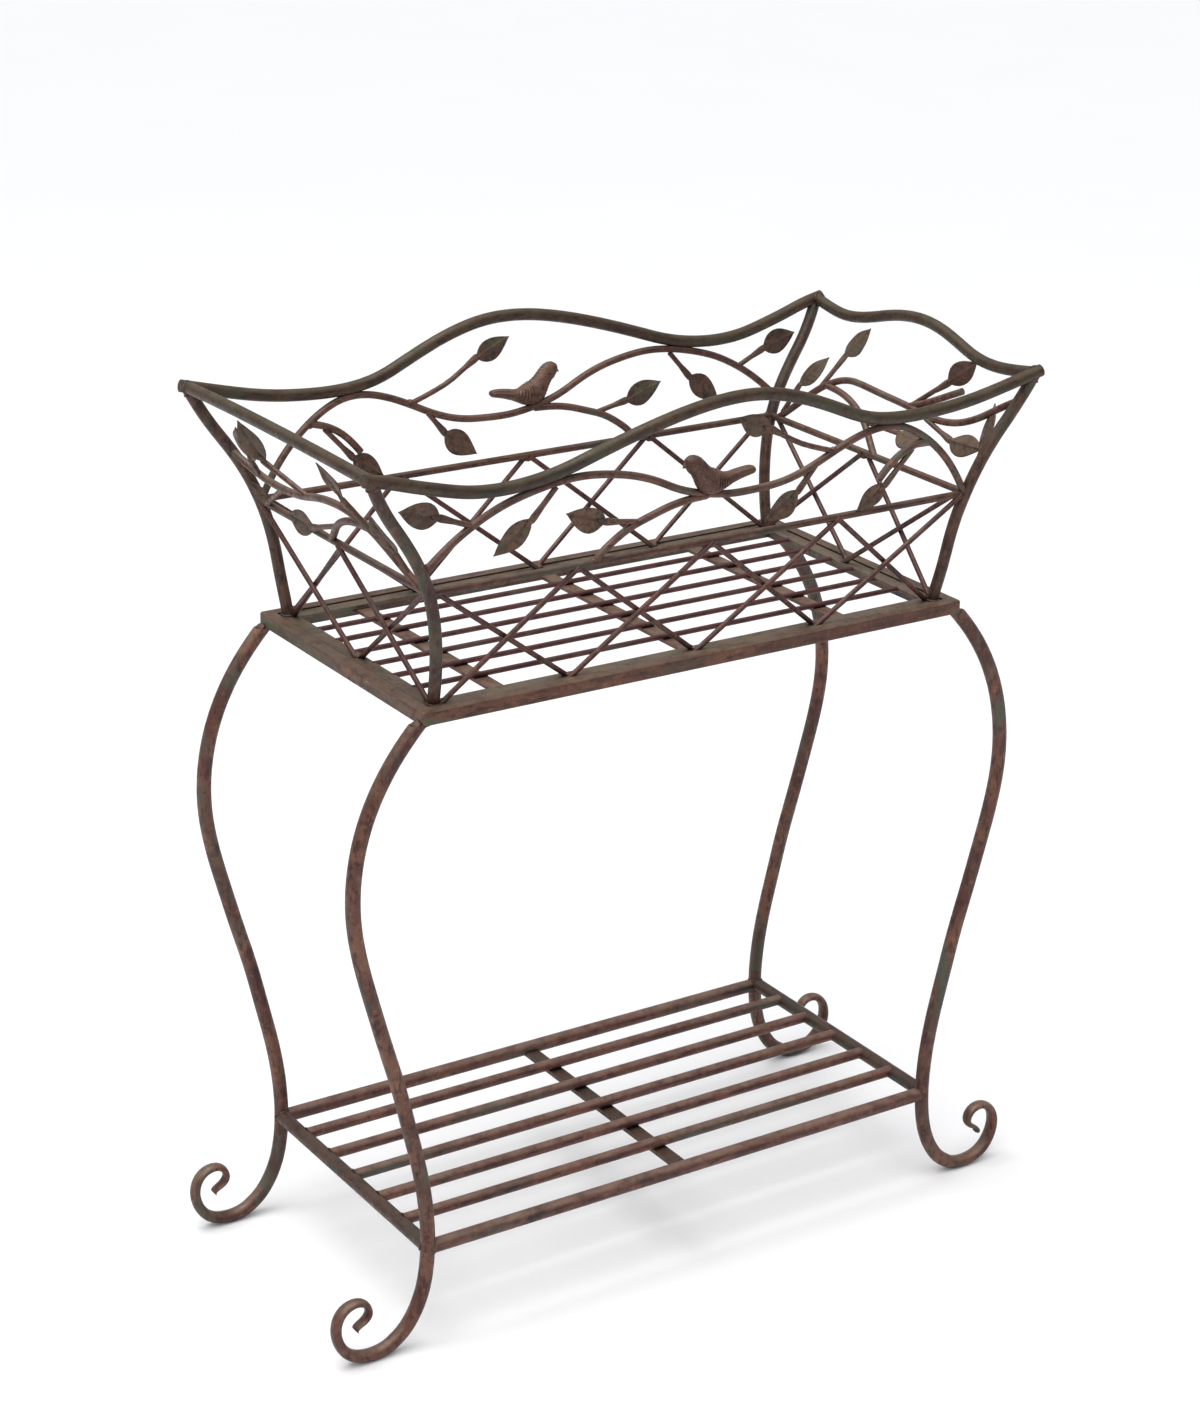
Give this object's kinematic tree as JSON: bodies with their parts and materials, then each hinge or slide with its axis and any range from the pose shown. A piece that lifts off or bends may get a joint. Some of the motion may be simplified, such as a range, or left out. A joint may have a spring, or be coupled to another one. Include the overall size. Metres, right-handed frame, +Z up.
{
  "type": "plant trolley",
  "caption": "Free-standing metal plant stand: flared lattice basket with leafy vines and birds on top, slatted shelf below, bowed legs that end in scroll feet",
  "frame": {"origin": "on the floor, under the centre of the stand", "axes": "+X along the long side to the right, +Y to the rear, +Z up"},
  "size_m": [0.7392, 0.3448, 0.8341],
  "materials": {
    "stand_steel": "rust-brown paint with brushed green-grey patina, satin",
    "basket_steel": "rust-brown paint with brushed green-grey patina, satin",
    "leaf_steel": "dark brown pressed sheet, worn edges",
    "bird_cast": "rust-brown painted casting"
  },
  "bodies": {
    "root": {"basket_post_front_left": "basket_steel", "basket_post_front_right": "basket_steel", "basket_post_rear_left": "basket_steel", "basket_post_rear_right": "basket_steel", "bird_front": "bird_cast", "bird_rear": "bird_cast", "lattice_front": "basket_steel", "lattice_left": "basket_steel", "lattice_rear": "basket_steel", "lattice_right": "basket_steel", "leaf_stems_front": "basket_steel", "leaf_stems_left": "basket_steel", "leaf_stems_rear": "basket_steel", "leaf_stems_right": "basket_steel", "leaves_front": "leaf_steel", "leaves_left": "leaf_steel", "leaves_rear": "leaf_steel", "leaves_right": "leaf_steel", "leg_front_left": "stand_steel", "leg_front_right": "stand_steel", "leg_rear_left": "stand_steel", "leg_rear_right": "stand_steel", "mid_rail_front": "basket_steel", "mid_rail_left": "basket_steel", "mid_rail_rear": "basket_steel", "mid_rail_right": "basket_steel", "rim_front": "basket_steel", "rim_left": "basket_steel", "rim_rear": "basket_steel", "rim_right": "basket_steel", "shelf_cross_strap": "stand_steel", "shelf_end_rail_left": "stand_steel", "shelf_end_rail_right": "stand_steel", "shelf_rail_front": "stand_steel", "shelf_rail_rear": "stand_steel", "shelf_slats": "stand_steel", "top_frame_front": "stand_steel", "top_frame_left": "stand_steel", "top_frame_rear": "stand_steel", "top_frame_right": "stand_steel", "tray_ring_front": "basket_steel", "tray_ring_left": "basket_steel", "tray_ring_rear": "basket_steel", "tray_ring_right": "basket_steel", "tray_slats": "basket_steel", "tray_straps": "basket_steel", "vine_front_branch": "basket_steel", "vine_front_left": "basket_steel", "vine_front_middle": "basket_steel", "vine_front_right": "basket_steel", "vine_left_arc": "basket_steel", "vine_left_long": "basket_steel", "vine_rear_branch": "basket_steel", "vine_rear_left": "basket_steel", "vine_rear_middle": "basket_steel", "vine_rear_right": "basket_steel", "vine_right_arc": "basket_steel", "vine_right_branch": "basket_steel", "vine_right_long": "basket_steel"}
  },
  "joints": []
}
